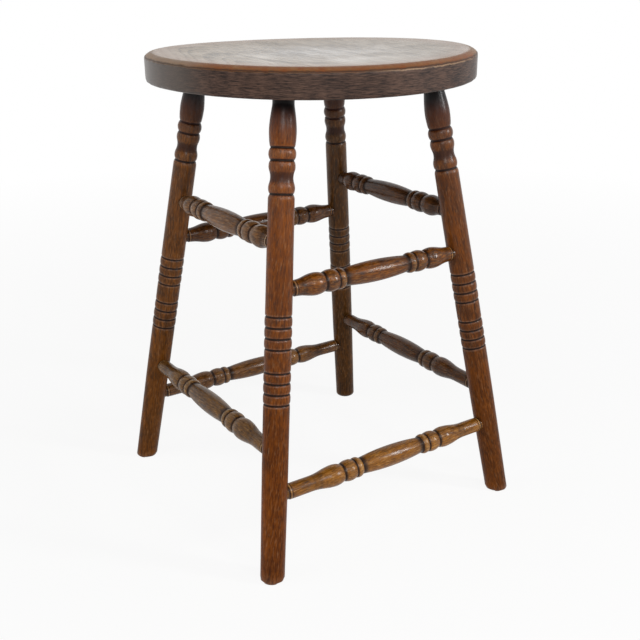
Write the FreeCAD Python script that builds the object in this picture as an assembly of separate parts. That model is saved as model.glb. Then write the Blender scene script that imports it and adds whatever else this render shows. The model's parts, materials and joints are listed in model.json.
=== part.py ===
import FreeCAD, Part
import math
import os
from FreeCAD import Vector

# Turned stool: a thick round seat on four splayed turned legs, tied by an upper and a lower
# set of four turned stretchers. Every joint is a round tenon in a blind bore.
# Millimetres. +Z is up, and the origin is on the floor under the middle of the seat.
# -Y is the front, so the front and back stretchers run along X, the left and right ones along Y.

# Overall
total_height = 662.0
leg_spacing_at_seat = 235.0
leg_spacing_at_floor = 410.0

# Seat: one board, turned round, with a worn bevel round its top and a shallow dish
seat_diameter = 452.0
seat_thickness = 39.0
bevel_height = 6.0
bevel_width = 12.5
bevel_bulge = 1.2
seat_arris = 3.0
rim_width = 9.0
dish_depth = 4.0
seat_socket_depth = 26.0

# Leg, measured along its own axis from the underside of the seat
leg_tenon_radius = 12.7
neck_radius = 13.7
neck_length = 16.0
vase_length = 49.8
vase_radius = 17.2
lip_radius = 15.8
cut_width = 3.2
cut_depth = 1.5
bead_length = 12.4
bead_radius = 17.3
flange_length = 11.4
flange_radius = 16.8
cove_length = 15.4
cove_radius = 14.4
shaft_top_radius = 16.8
shaft_radius = 17.5
first_band_drop = 277.9
band_gap = 30.5
band_pitch = 14.1
ring_radius = 17.9
shin_drop = 481.0
foot_radius = 16.3
foot_arris = 3.5

# Number of cuts in each of the two bands of the leg
band_cuts = 4

# Heights of the stretchers' axes above the floor: those that meet in one leg are staggered
upper_side_height = 439.5
upper_front_height = 381.0
lower_side_height = 170.8
lower_front_height = 113.3

# Stretcher, measured along its own axis from its middle
barrel_half = 53.2
barrel_radius = 14.9
barrel_end_radius = 11.4
collar_step = 1.2
collar_length = 8.8
collar_radius = 14.4
collar_lip = 13.5
knop_length = 17.7
knop_radius = 15.0
knop_lip = 12.8
knop_cut_width = 3.0
knop_cut_depth = 1.2
collar_cut_width = 2.4
collar_cut_depth = 1.0
swell_radius = 15.1
swell_rise = 12.5
upper_side_swell_length = 36.0
upper_front_swell_length = 42.0
lower_swell_length = 47.0
wrist_radius = 10.7
stretcher_tenon_radius = 9.5
shoulder_round = 0.9
mortise_past_axis = 6.0
tenon_chamfer = 1.2

# Fits
glue_clearance = 0.1
end_clearance = 1.0
shoulder_clearance = 0.4
overrun = 20.0

# Which side of the middle planes each leg stands on
leg_corners = {
    "leg_front_left": (-1, -1),
    "leg_front_right": (1, -1),
    "leg_back_left": (-1, 1),
    "leg_back_right": (1, 1),
}
# Tier of each kind of stretcher, its height, its swell's length, and whether it runs along X
stretcher_tiers = [
    ("upper", upper_side_height, upper_side_swell_length, False),
    ("upper", upper_front_height, upper_front_swell_length, True),
    ("lower", lower_side_height, lower_swell_length, False),
    ("lower", lower_front_height, lower_swell_length, True),
]

# Share of the knop's length at which it is thickest
knop_peak_share = 0.43
# Shares of the swell's rise and of its largest radius, between its lip and its thickest place
rise_shares = [(0.30, 0.93), (0.62, 0.98), (1.0, 1.0)]
# Shares of the rest of the swell and of its largest radius, between that place and the wrist
taper_shares = [(0.24, 0.958), (0.39, 0.904), (0.52, 0.85), (0.75, 0.758)]
# Shares of the vase's length and of its largest radius, between the neck and its lip
vase_shares = [(0.18, 0.876), (0.40, 0.957), (0.62, 1.0), (0.86, 0.969)]

underside = total_height - seat_thickness
half_at_seat = leg_spacing_at_seat / 2
half_at_floor = leg_spacing_at_floor / 2
lean = (half_at_floor - half_at_seat) / underside
splay = math.atan(math.hypot(lean, lean))
leg_length = underside / math.cos(splay)


def leg_offset(height):
    """Distance of a leg's axis from the middle planes of the stool at a height."""
    return half_at_floor - lean * height


def spot(along, radius, side):
    """A point of a turned outline, in the plane of its axis."""
    return Vector(radius, 0, side * along)


def outline(along, radius, steps, side=1):
    """Edges of an outline: 2 values are a line's end, 4 an arc's middle and end, more a curve."""
    edges = []
    here = spot(along, radius, side)
    for step in steps:
        spots = [spot(a, r, side) for a, r in zip(step[0::2], step[1::2])]
        if len(spots) == 1:
            edge = Part.LineSegment(here, spots[0])
        elif len(spots) == 2:
            edge = Part.Arc(here, spots[0], spots[1])
        else:
            edge = Part.BSplineCurve()
            edge.interpolate([here] + spots)
        edges.append(edge.toShape())
        here = spots[-1]
    return edges


def turned(edges):
    """Solid of revolution inside a closed outline."""
    wire = Part.Wire(Part.__sortEdges__(edges))
    return Part.Face(wire).revolve(Vector(0, 0, 0), Vector(0, 0, 1), 360)


def cut_steps(along, width, depth, radius):
    """A V-cut of the turner's chisel, from one lip to the other."""
    return [(along + width / 2, radius - depth), (along + width, radius)]


def aim(shape, foot, direction):
    """Lay a piece that is turned about Z on a line through foot."""
    turn = FreeCAD.Rotation(Vector(0, 0, 1), direction)
    placed = shape.copy()
    placed.Placement = FreeCAD.Placement(foot, turn)
    return placed


def make_seat():
    """The seat board, with a blind socket bored along the axis of each leg."""
    radius = seat_diameter / 2
    top = total_height
    bevel_end = radius - bevel_width
    dish_edge = bevel_end - rim_width
    bevel_middle = (top - bevel_height / 2 + bevel_bulge, radius - bevel_width / 2 + bevel_bulge)
    dish_radius = (dish_edge**2 + dish_depth**2) / (2 * dish_depth)
    dish_rise = dish_radius - math.sqrt(dish_radius**2 - dish_edge**2 / 4)
    dish_middle = (top - dish_depth + dish_rise, dish_edge / 2)
    corner = seat_arris * (1 - math.sqrt(1 / 2))
    steps = [
        (underside, radius - seat_arris),
        (underside + corner, radius - corner, underside + seat_arris, radius),
        (top - bevel_height, radius),
        (*bevel_middle, top, bevel_end),
        (top, dish_edge),
        (*dish_middle, top - dish_depth, 0),
        (underside, 0),
    ]
    seat = turned(outline(underside, 0, steps))
    depth = seat_socket_depth / math.cos(splay) + overrun
    for corner_x, corner_y in leg_corners.values():
        up = leg_direction(corner_x, corner_y)
        mouth = Vector(corner_x * half_at_seat, corner_y * half_at_seat, underside)
        start = mouth - up * overrun
        seat = seat.cut(Part.makeCylinder(leg_tenon_radius + glue_clearance, depth, start, up))
    return seat


def leg_direction(corner_x, corner_y):
    """Unit vector up the axis of a leg."""
    up = Vector(-corner_x * lean, -corner_y * lean, 1)
    return up.normalize()


def leg_head_steps(start):
    """Vase, bead, upper flange, cove and lower flange, each set off by a cut."""
    lip = lip_radius
    along = start + vase_length
    vase = []
    for length_share, radius_share in vase_shares:
        vase += [start + vase_length * length_share, vase_radius * radius_share]
    steps = [(*vase, along, lip)]
    steps += cut_steps(along, cut_width, cut_depth, lip)
    along += cut_width
    steps.append((along + bead_length / 2, bead_radius, along + bead_length, lip))
    along += bead_length
    steps += cut_steps(along, cut_width, cut_depth, lip)
    along += cut_width
    steps.append((along + flange_length / 2, flange_radius, along + flange_length, lip))
    along += flange_length
    steps.append((along + cove_length / 2, cove_radius, along + cove_length, lip))
    along += cove_length
    steps.append((along + flange_length / 2, flange_radius, along + flange_length, lip))
    along += flange_length
    steps += cut_steps(along, cut_width, cut_depth, lip)
    along += cut_width
    steps.append((along + cut_width, shaft_top_radius))
    return steps


def band_steps(start):
    """A band of cuts with rounded rings between them."""
    steps = []
    for index in range(band_cuts):
        along = start + index * band_pitch - cut_width / 2
        steps.append((along, shaft_radius))
        if index:
            middle = along - (band_pitch - cut_width) / 2
            steps[-1] = (middle, ring_radius, along, shaft_radius)
        steps += cut_steps(along, cut_width, cut_depth, shaft_radius)
    return steps


def make_leg():
    """One turned leg, its axis on Z, downwards from the underside of the seat at zero."""
    tenon = (seat_socket_depth - end_clearance) / math.cos(splay)
    shoulder = neck_radius * math.tan(splay) + shoulder_clearance
    second_band = first_band_drop + (band_cuts - 1) * band_pitch + band_gap
    end = leg_length + overrun
    steps = [(tenon_chamfer - tenon, leg_tenon_radius)]
    steps.append((shoulder, leg_tenon_radius))
    steps.append((shoulder + shoulder_round, neck_radius))
    steps.append((neck_length, neck_radius))
    steps += leg_head_steps(neck_length)
    steps += band_steps(first_band_drop)
    steps += band_steps(second_band)
    steps.append((shin_drop, shaft_radius))
    steps.append((end, foot_radius))
    steps.append((end, 0))
    steps.append((-tenon, 0))
    return turned(outline(-tenon, 0, [(-tenon, leg_tenon_radius - tenon_chamfer)] + steps))


def place_leg(leg, corner_x, corner_y):
    """Set a leg at its splay, trim its foot level with the floor and ease the foot's arris."""
    top = Vector(corner_x * half_at_seat, corner_y * half_at_seat, underside)
    placed = aim(leg, top, -leg_direction(corner_x, corner_y))
    reach = half_at_floor + foot_radius + overrun
    floor = Part.makeBox(2 * reach, 2 * reach, 2 * overrun, Vector(-reach, -reach, -2 * overrun))
    placed = placed.cut(floor)
    sole = min(placed.Faces, key=lambda face: face.CenterOfMass.z)
    return placed.makeFillet(foot_arris, sole.Edges)


def bore_leg(leg, corner_x, corner_y):
    """Bore the four blind mortises of a leg along the axes of its stretchers."""
    radius = stretcher_tenon_radius + glue_clearance
    for _, height, _, along_x in stretcher_tiers:
        offset = leg_offset(height)
        centre = Vector(corner_x * offset, corner_y * offset, height)
        outward = Vector(corner_x, 0, 0) if along_x else Vector(0, corner_y, 0)
        mouth = centre - outward * (shaft_radius + overrun)
        length = shaft_radius + overrun + mortise_past_axis
        leg = leg.cut(Part.makeCylinder(radius, length, mouth, outward))
    return leg


def make_stretcher(half_span, swell_length):
    """One turned stretcher, its axis on Z and its middle at zero."""
    lean_gap = shaft_radius * math.hypot(1, lean) + wrist_radius * lean
    shoulder = half_span - lean_gap - shoulder_clearance
    end = half_span + mortise_past_axis - end_clearance
    collar = barrel_half + collar_step
    knop = collar + collar_length + collar_cut_width
    swell = knop + knop_length + knop_cut_width
    taper = swell_length - swell_rise
    swell_points = []
    for length_share, radius_share in rise_shares:
        swell_points += [swell + swell_rise * length_share, swell_radius * radius_share]
    for length_share, radius_share in taper_shares:
        swell_points += [swell + swell_rise + taper * length_share, swell_radius * radius_share]
    steps = [
        (collar, barrel_end_radius + collar_step),
        (collar + collar_length / 2, collar_radius, collar + collar_length, collar_lip),
        *cut_steps(collar + collar_length, collar_cut_width, collar_cut_depth, collar_lip),
        (knop + knop_length * knop_peak_share, knop_radius, knop + knop_length, knop_lip),
        *cut_steps(knop + knop_length, knop_cut_width, knop_cut_depth, knop_lip),
        (*swell_points, swell + swell_length, wrist_radius),
        (shoulder - shoulder_round, wrist_radius),
        (shoulder, stretcher_tenon_radius),
        (end - tenon_chamfer, stretcher_tenon_radius),
        (end, stretcher_tenon_radius - tenon_chamfer),
        (end, 0),
    ]
    barrel = outline(-barrel_half, barrel_end_radius, [(0, barrel_radius, barrel_half, barrel_end_radius)])
    edges = barrel + outline(-end, 0, [(end, 0)])
    for side in (1, -1):
        edges += outline(barrel_half, barrel_end_radius, steps, side)
    return turned(edges)


def make_parts():
    """All sub-parts by name."""
    parts = {"seat": make_seat()}
    leg = make_leg()
    for name, (corner_x, corner_y) in leg_corners.items():
        parts[name] = bore_leg(place_leg(leg, corner_x, corner_y), corner_x, corner_y)
    for tier, height, swell_length, along_x in stretcher_tiers:
        offset = leg_offset(height)
        stretcher = make_stretcher(offset, swell_length)
        for side in (-1, 1):
            if along_x:
                place = "front" if side < 0 else "back"
                middle = Vector(0, side * offset, height)
                direction = Vector(1, 0, 0)
            else:
                place = "left" if side < 0 else "right"
                middle = Vector(side * offset, 0, height)
                direction = Vector(0, 1, 0)
            parts[tier + "_stretcher_" + place] = aim(stretcher, middle, direction)
    return parts


os.makedirs("parts", exist_ok=True)
for part_name, shape in make_parts().items():
    shape.exportStep("parts/" + part_name + ".step")
    print(part_name, shape.isValid(), len(shape.Solids), round(shape.Volume))
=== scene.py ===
"""Turned stool: finished seat, legs and stretchers in metres, laid out as an add-on."""

import json
import math

import bmesh
import bpy
from bpy.props import FloatProperty, FloatVectorProperty, IntProperty, PointerProperty
from mathutils import Matrix, Vector


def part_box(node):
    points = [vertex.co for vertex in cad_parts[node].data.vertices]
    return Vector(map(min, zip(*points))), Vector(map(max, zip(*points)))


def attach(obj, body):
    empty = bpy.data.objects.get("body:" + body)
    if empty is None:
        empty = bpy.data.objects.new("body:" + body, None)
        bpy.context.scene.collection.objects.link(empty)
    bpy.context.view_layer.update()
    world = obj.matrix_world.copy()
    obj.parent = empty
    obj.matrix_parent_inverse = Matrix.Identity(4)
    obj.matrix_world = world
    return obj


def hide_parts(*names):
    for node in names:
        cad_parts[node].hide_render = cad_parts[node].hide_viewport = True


bl_info = {
    "name": "Turned stool",
    "version": (1, 0, 0),
    "blender": (4, 5, 0),
    "location": "View3D > Sidebar > Stool",
    "description": "Builds a turned wooden stool around its packed frame",
    "category": "Add Mesh",
}

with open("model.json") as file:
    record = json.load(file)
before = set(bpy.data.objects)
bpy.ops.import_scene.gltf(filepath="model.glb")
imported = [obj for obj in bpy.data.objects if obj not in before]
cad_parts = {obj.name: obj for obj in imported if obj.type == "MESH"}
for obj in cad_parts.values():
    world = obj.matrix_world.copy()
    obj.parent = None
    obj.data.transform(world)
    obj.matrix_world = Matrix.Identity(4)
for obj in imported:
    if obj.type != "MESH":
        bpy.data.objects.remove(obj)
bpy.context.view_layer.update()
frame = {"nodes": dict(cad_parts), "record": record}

MM = 0.001

# Sockets of the Mix node when it mixes colours
MIX_A = 6
MIX_B = 7
MIX_OUT = 2

# Sampling of a turned outline: close together at cuts and lips, wider on plain runs
FINE_STEP = 0.6 * MM
WIDE_STEP = 4.0 * MM
MERGE_DISTANCE = 0.01 * MM
SHARP_ANGLE = math.radians(50)
BORE_FACETS = 72
# Width of one knock in a lip or edge
KNOCK_SIZE = 9 * MM
# Unevenness of a turning: how quickly it changes along the axis, per metre, and how broad it is
# on a circle of radius 1 round the axis
STRAY_ALONG = 14.0
STRAY_AROUND = 1.25
# Rounds of blurring of an outline. Cuts and lips are told from a few rounds, hollows and swellings
# from many, and the last are the wear of a leg's lips
RELIEF_PASSES = 7
SEAT_RELIEF_PASSES = 14
FORM_PASSES = 60
LEG_WEAR_PASSES = 4
# Seeds of the unevenness and knocks of the pieces, and how far apart the pieces lie in the wood
SEAT_SEED = 5.2
LEG_SEED_STEP = 3.7
STRETCHER_SEED = 11.3
STRETCHER_SEED_STEP = 2.9
LEG_BLANK_STEP = (0.013, -0.017, 0.0)
STRETCHER_BLANK_STEP = (0.019, 0.011, 0.4)
# Length of a leg's rounded shoulder and of the straight end of its blank, and how much of the blank
# is sawn off at the floor
SHOULDER_ROUND = 0.9 * MM
FOOT_STRAIGHT = 24 * MM
FOOT_OVERRUN = 8 * MM

# How high the cupped and tilted board's rim rises, as a share of its cup and tilt together
HIGHEST_SHARE = 0.89
# Shares of the swell's rise and of its largest radius, between its lip and its thickest place
RISE_SHARES = [(0.30, 0.93), (0.62, 0.98), (1.0, 1.0)]
# Shares of the rest of the swell and of its largest radius, between that place and the wrist
TAPER_SHARES = [(0.24, 0.958), (0.39, 0.904), (0.52, 0.85), (0.75, 0.758)]
# Shares of the vase's length and of its largest radius, between the neck and its lip
VASE_SHARES = [(0.18, 0.876), (0.40, 0.957), (0.62, 1.0), (0.86, 0.969)]


def linear(hex_colour):
    """Linear colour of an sRGB hex value."""
    channels = [int(hex_colour[place:place + 2], 16) / 255 for place in (1, 3, 5)]
    return tuple(c / 12.92 if c <= 0.04045 else ((c + 0.055) / 1.055) ** 2.4 for c in channels)


def length(name, description, millimetres):
    """A size that a user can change."""
    return FloatProperty(name=name, description=description, default=millimetres * MM,
                         unit="LENGTH")


def angle(name, description, degrees):
    """An angle that a user can change."""
    return FloatProperty(name=name, description=description, default=math.radians(degrees),
                         subtype="ANGLE")


def colour(name, description, hex_colour):
    """A colour that a user can change."""
    return FloatVectorProperty(name=name, description=description, default=linear(hex_colour),
                               subtype="COLOR", min=0.0, max=1.0)


def share(name, description, value):
    """A share that a user can change."""
    return FloatProperty(name=name, description=description, default=value, min=0.0, max=1.0,
                         subtype="FACTOR")


class StoolSeatSettings(bpy.types.PropertyGroup):
    """Sizes and colours of the seat."""

    thickness: length("Thickness", "Thickness of the board", 37.0)
    cup: length("Cup", "How far the board has cupped across its grain at its edge", 1.8)
    tilt: length("Tilt", "How far the board stands off level at its edge", 1.5)
    grain_turn: angle("Grain", "Turn of the board's grain off the Y axis", -15.0)
    tilt_turn: angle("High side", "Direction of the board's highest side", 8.0)
    bevel_height: length("Bevel height", "Height of the worn bevel round the top", 6.0)
    bevel_width: length("Bevel width", "Width of the worn bevel round the top", 12.3)
    bevel_bulge: length("Bevel bulge", "How far the bevel is rounded outwards", 1.2)
    arris: length("Arris", "Radius of the lower edge", 3.0)
    rim_width: length("Rim width", "Flat ring between the bevel and the dish", 9.0)
    dish_depth: length("Dish depth", "Depth of the dish in the middle", 4.0)
    socket_depth: length("Socket depth", "Depth of the leg sockets", 26.0)
    edge_wear: length("Edge wear", "Depth of the knocks in the edges", 0.9)
    ring_pitch: length("Growth rings", "Spacing of the growth rings in the board", 5.5)
    spokes: IntProperty(name="Spokes", description="Facets round the board", default=448, min=8)
    heart_drop: length("Heart", "How far the tree's heart lies below the top of the board", 130.0)
    polish: share("Polish", "Share of the glossy skin where the top is most polished", 0.6)
    board_pale: colour("Pale wood", "Early wood of the board", "#8f703c")
    board_dark: colour("Dark wood", "Late wood of the board", "#433015")
    tanned: colour("Tanned wood", "Wood near the rim, where the polish is thin", "#8c6440")
    side_pale: colour("Side streaks", "Dry fibres on the end grain of the side", "#574136")
    side_dark: colour("Side wood", "Stained end grain on the side of the board", "#1d110d")
    # Greyer long grain on the side: partly the smoother wood, partly a painted sheen at the board's
    # ends
    smooth_side_and_sheen: colour("Smooth side", "Long grain on the side of the board", "#494039")
    rubbed: colour("Rubbed wood", "Bare wood on the worn bevel", "#77401a")
    # Greyer long grain on the bevel: partly less rubbed wood, partly a painted sheen at the board's
    # ends
    faded_bevel_and_sheen: colour("Faded bevel", "Long grain on the bevel, which has rubbed less orange", "#8a7460")
    # Pale painted highlight on the arris of the top and under the foot of the bevel
    painted_glint: colour("Painted glint", "Painted highlight on the arris and under the foot of the bevel", "#a88a6c")


class StoolLegSettings(bpy.types.PropertyGroup):
    """Sizes of a leg, measured along its axis from the underside of the seat."""

    tenon_radius: length("Tenon radius", "Radius of the tenon in the seat", 12.7)
    neck_radius: length("Neck radius", "Radius just under the seat", 13.7)
    neck_length: length("Neck length", "Length of the neck", 16.0)
    vase_length: length("Vase length", "Length of the vase", 49.8)
    vase_radius: length("Vase radius", "Largest radius of the vase", 17.2)
    lip_radius: length("Lip radius", "Radius at the lips of the cuts", 15.8)
    cut_width: length("Cut width", "Width of a cut", 3.2)
    cut_depth: length("Cut depth", "Depth of a cut", 1.5)
    bead_length: length("Bead length", "Length of the bead", 12.4)
    bead_radius: length("Bead radius", "Radius of the bead", 17.3)
    flange_length: length("Flange length", "Length of each flange beside the cove", 11.4)
    flange_radius: length("Flange radius", "Radius of each flange", 16.8)
    cove_length: length("Cove length", "Length of the cove", 15.4)
    cove_radius: length("Cove radius", "Smallest radius of the cove", 14.4)
    shaft_top_radius: length("Shaft top radius", "Radius where the shaft begins", 16.8)
    shaft_radius: length("Shaft radius", "Radius at the bands of cuts", 17.5)
    ring_radius: length("Ring radius", "Radius of the rings between the cuts", 17.9)
    first_band_drop: length("First band", "Distance of the first band of cuts from the seat", 277.9)
    band_gap: length("Band gap", "Distance between the two bands", 30.5)
    band_pitch: length("Band pitch", "Distance between cuts in a band", 14.1)
    band_cuts: IntProperty(name="Cuts", description="Cuts in each band", default=4, min=1)
    shin_drop: length("Shin", "Where the taper to the foot begins", 481.0)
    foot_radius: length("Foot radius", "Radius at the foot", 16.5)
    foot_arris: length("Foot arris", "Radius of the edge of the sole", 3.5)
    tenon_chamfer: length("Tenon chamfer", "Chamfer at the end of the tenon", 1.2)


class StoolStretcherSettings(bpy.types.PropertyGroup):
    """Sizes of a stretcher, measured along its axis from its middle."""

    barrel_half: length("Half barrel", "Half the length of the barrel", 53.2)
    barrel_radius: length("Barrel radius", "Largest radius of the barrel", 14.9)
    barrel_end_radius: length("Barrel end radius", "Radius at the ends of the barrel", 11.4)
    collar_step: length("Collar step", "Rise from the barrel to the collar", 1.2)
    collar_length: length("Collar length", "Length of the collar", 8.8)
    collar_radius: length("Collar radius", "Radius of the collar", 14.4)
    collar_lip: length("Collar lip", "Radius at the collar's outer edge", 13.5)
    knop_length: length("Knop length", "Length of the knop", 17.7)
    knop_radius: length("Knop radius", "Radius of the knop", 15.0)
    knop_lip: length("Knop lip", "Radius at the knop's outer edge", 12.8)
    knop_cut_width: length("Knop cut width", "Width of the cut outside the knop", 3.0)
    knop_cut_depth: length("Knop cut depth", "Depth of the cut outside the knop", 1.2)
    collar_cut_width: length("Collar cut width", "Width of the cut outside the collar", 2.4)
    collar_cut_depth: length("Collar cut depth", "Depth of the cut outside the collar", 1.0)
    swell_radius: length("Swell radius", "Largest radius of the swell", 15.1)
    knop_peak: share("Knop peak", "Share of the knop's length at which it is thickest", 0.43)
    swell_rise: length("Swell rise", "Length of the swell up to its thickest place", 12.5)
    upper_side_swell: length("Upper side swell",
                             "Length of the swell on the upper left and right", 36.0)
    upper_front_swell: length("Upper front swell",
                              "Length of the swell on the upper front and back", 42.0)
    lower_swell: length("Lower swell", "Length of the swell on a lower stretcher", 47.0)
    scribe_inset: length("Scribe inset", "Distance of the scribed ring from the shoulder", 4.4)
    scribe_width: length("Scribe width", "Width of the scribed ring", 1.8)
    scribe_depth: length("Scribe depth", "Depth of the scribed ring", 0.6)
    wrist_radius: length("Wrist radius", "Radius beside the leg", 10.7)
    tenon_radius: length("Tenon radius", "Radius of the tenon", 9.5)
    tenon_chamfer: length("Tenon chamfer", "Chamfer at the end of the tenon", 1.2)
    shoulder_round: length("Shoulder round", "Length of the rounded shoulder", 0.9)
    mortise_past_axis: length("Mortise depth", "How far a mortise runs past the leg's axis", 6.0)


class StoolFitSettings(bpy.types.PropertyGroup):
    """Clearances in the joints and the unevenness left by the turner's hand."""

    glue_clearance: length("Glue line", "Gap round a tenon in its bore", 0.1)
    end_clearance: length("End gap", "Gap beyond the end of a tenon", 1.0)
    shoulder_clearance: length("Shoulder gap", "Gap between a shoulder and what it meets", 0.4)
    out_of_round: length("Out of round", "How far a turning strays from a true round", 0.25)
    lip_wear: length("Lip wear", "Depth of the knocks in the lips of a turning", 0.35)
    spokes: IntProperty(name="Spokes", description="Facets round a turning", default=88, min=8)
    wear_passes: IntProperty(name="Wear", description="Rounds of softening of the lips",
                             default=2, min=0)


class StoolStageSettings(bpy.types.PropertyGroup):
    """Camera and light."""

    camera_place: FloatVectorProperty(
        name="Camera place", description="Where the camera stands", subtype="TRANSLATION",
        unit="LENGTH", default=(-0.71381, -1.08679, 0.76366))
    camera_yaw: angle("Yaw", "Turn of the camera about the vertical", -33.716)
    camera_pitch: angle("Pitch", "How far the camera looks down", 21.143)
    camera_roll: angle("Roll", "Tilt of the camera about its own axis", 0.428)
    focal_pixels: FloatProperty(name="Focal length", subtype="PIXEL", default=912.61,
                                description="Focal length in pixels of a 640 pixel view")
    lamp_power: FloatProperty(name="Lamps", description="Power of the strongest lamp", unit="POWER",
                              default=25.0)
    lamp_distance: length("Lamp distance", "Distance of the lamps from the stool's middle", 2400.0)
    world_strength: FloatProperty(name="Surroundings", subtype="FACTOR", default=0.1,
                                  description="Strength of the white surroundings")


# Nodes


def add(tree, kind, inputs=None, **settings):
    """Adds a node with its settings, and links or sets its inputs."""
    node = tree.nodes.new(kind)
    for name, value in settings.items():
        setattr(node, name, value)
    for socket, value in (inputs or {}).items():
        if isinstance(value, bpy.types.NodeSocket):
            tree.links.new(value, node.inputs[socket])
        else:
            node.inputs[socket].default_value = value
    return node


def result(tree, kind, inputs=None, **settings):
    """First output of a new node."""
    return add(tree, kind, inputs, **settings).outputs[0]


def maths(tree, operation, *values, clamp=False):
    """Result of a Math node."""
    inputs = dict(enumerate(values))
    return result(tree, "ShaderNodeMath", inputs, operation=operation, use_clamp=clamp)


def multiplied(tree, first, *others):
    """Product of values."""
    for other in others:
        first = maths(tree, "MULTIPLY", first, other)
    return first


def vector_maths(tree, operation, first, second=None):
    """Result of a VectorMath node."""
    inputs = {0: first}
    if second is not None:
        inputs["Scale" if operation == "SCALE" else 1] = second
    outputs = add(tree, "ShaderNodeVectorMath", inputs, operation=operation).outputs
    return outputs["Value" if operation in ("LENGTH", "DISTANCE", "DOT_PRODUCT") else "Vector"]


def level_part(tree, vector):
    """A vector without its height."""
    return vector_maths(tree, "MULTIPLY", vector, (1.0, 1.0, 0.0))


def combined(tree, x=0.0, y=0.0, z=0.0):
    """Vector from its parts."""
    return result(tree, "ShaderNodeCombineXYZ", {"X": x, "Y": y, "Z": z})


def split(tree, vector):
    """Parts of a vector, by letter."""
    return add(tree, "ShaderNodeSeparateXYZ", {0: vector}).outputs


def remap(tree, value, low, high, to_low=0.0, to_high=1.0, curve="LINEAR"):
    """A value taken from one range to another and held inside it."""
    inputs = {"Value": value, "From Min": low, "From Max": high, "To Min": to_low,
              "To Max": to_high}
    return result(tree, "ShaderNodeMapRange", inputs, interpolation_type=curve)


def noise(tree, vector, width, detail, roughness=0.5, seed=None):
    """Noise whose clumps are about as wide as width. A seed draws it anew for each piece."""
    inputs = {"Vector": vector, "Scale": 1 / width, "Detail": detail, "Roughness": roughness}
    if seed is None:
        return result(tree, "ShaderNodeTexNoise", inputs)
    return result(tree, "ShaderNodeTexNoise", {**inputs, "W": seed}, noise_dimensions="4D")


def attribute(tree, name, output="Fac"):
    """An attribute that turned_surface kept on the mesh."""
    return add(tree, "ShaderNodeAttribute", attribute_name=name).outputs[output]


# Outlines of turnings, as points (along, radius)


def line_points(start, end):
    """Points on a line, close together near its ends."""
    run = (end - start).length
    ends = [FINE_STEP * step for step in range(1, 6)]
    if run < 2 * ends[-1] + WIDE_STEP:
        count = max(1, round(run / FINE_STEP))
        return [start.lerp(end, step / count) for step in range(1, count + 1)]
    count = max(1, round((run - 2 * ends[-1]) / WIDE_STEP))
    middle = [ends[-1] + (run - 2 * ends[-1]) * step / count for step in range(1, count)]
    spots = ends + middle + [run - spot for spot in reversed(ends)] + [run]
    return [start.lerp(end, spot / run) for spot in spots]


def arc_points(start, middle, end):
    """Points on the arc from start to end that passes through middle."""
    first = middle - start
    second = end - start
    cross = 2 * (first.x * second.y - first.y * second.x)
    centre = start + Vector((
        (second.y * first.length_squared - first.y * second.length_squared) / cross,
        (first.x * second.length_squared - second.x * first.length_squared) / cross))
    arm = start - centre
    radius = arm.length
    sweep = 2 * math.asin(min(1.0, second.length / (2 * radius)))
    turn = math.copysign(sweep, cross)
    count = max(4, round(radius * sweep / arc_step(radius * sweep)))
    # Of the two ways round, the one that comes to the end
    for way in (-turn, turn):
        points = [centre + Matrix.Rotation(way * step / count, 2) @ arm
                  for step in range(1, count + 1)]
        if (points[-1] - end).length <= FINE_STEP:
            break
    return points


def arc_step(run):
    """Spacing of points on a curved run: fine on small features, wider on long ones."""
    return min(2 * FINE_STEP, max(FINE_STEP, run / 60))


def curve_points(spots):
    """Points on a smooth curve through the spots."""
    padded = [2 * spots[0] - spots[1]] + spots + [2 * spots[-1] - spots[-2]]
    points = []
    for before, start, end, after in zip(padded, padded[1:], padded[2:], padded[3:]):
        count = max(3, round((end - start).length / FINE_STEP))
        for step in range(1, count + 1):
            t = step / count
            bend = (2 * start + (end - before) * t
                    + (2 * before - 5 * start + 4 * end - after) * t ** 2
                    + (3 * start - before - 3 * end + after) * t ** 3)
            points.append(bend / 2)
    return points


def walk(start, steps):
    """Points of an outline. 2 values are a line's end, 4 an arc's middle and end, more a curve."""
    points = [Vector(start)]
    for step in steps:
        spots = [points[-1]] + [Vector(pair) for pair in zip(step[0::2], step[1::2])]
        if len(spots) == 2:
            points += line_points(*spots)
        elif len(spots) == 3:
            points += arc_points(*spots)
        else:
            points += curve_points(spots)
    return points


def cut_steps(along, width, depth, radius):
    """A V-cut of the turner's chisel, from one lip to the other."""
    return [(along + width / 2, radius - depth), (along + width, radius)]


def swell_points(along, run, radius, shares):
    """Points of a swelling, from its shares of a run and of a radius."""
    return [value for length_share, radius_share in shares
            for value in (along + run * length_share, radius * radius_share)]


# Turnings

# Inputs of the turning tree
TURNING_INPUTS = {
    "Geometry": "Geometry", "Spokes": "Int", "Wear passes": "Int", "Relief passes": "Int",
    "Form passes": "Int", "Out of round": "Float", "Edge wear": "Float", "Seed": "Float",
    "Blank offset": "Vector", "Up": "Vector", "Foot spot": "Vector", "Foot arris": "Float",
    "Place": "Vector", "Turn": "Rotation", "Material": "Material",
}


def merged(tree, geometry):
    """A mesh whose points that lie together are made one."""
    inputs = {"Geometry": geometry, "Distance": MERGE_DISTANCE}
    return result(tree, "GeometryNodeMergeByDistance", inputs)


def moved(tree, geometry, **inputs):
    """A mesh whose points are set in new places."""
    return result(tree, "GeometryNodeSetPosition", {"Geometry": geometry, **inputs})


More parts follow.
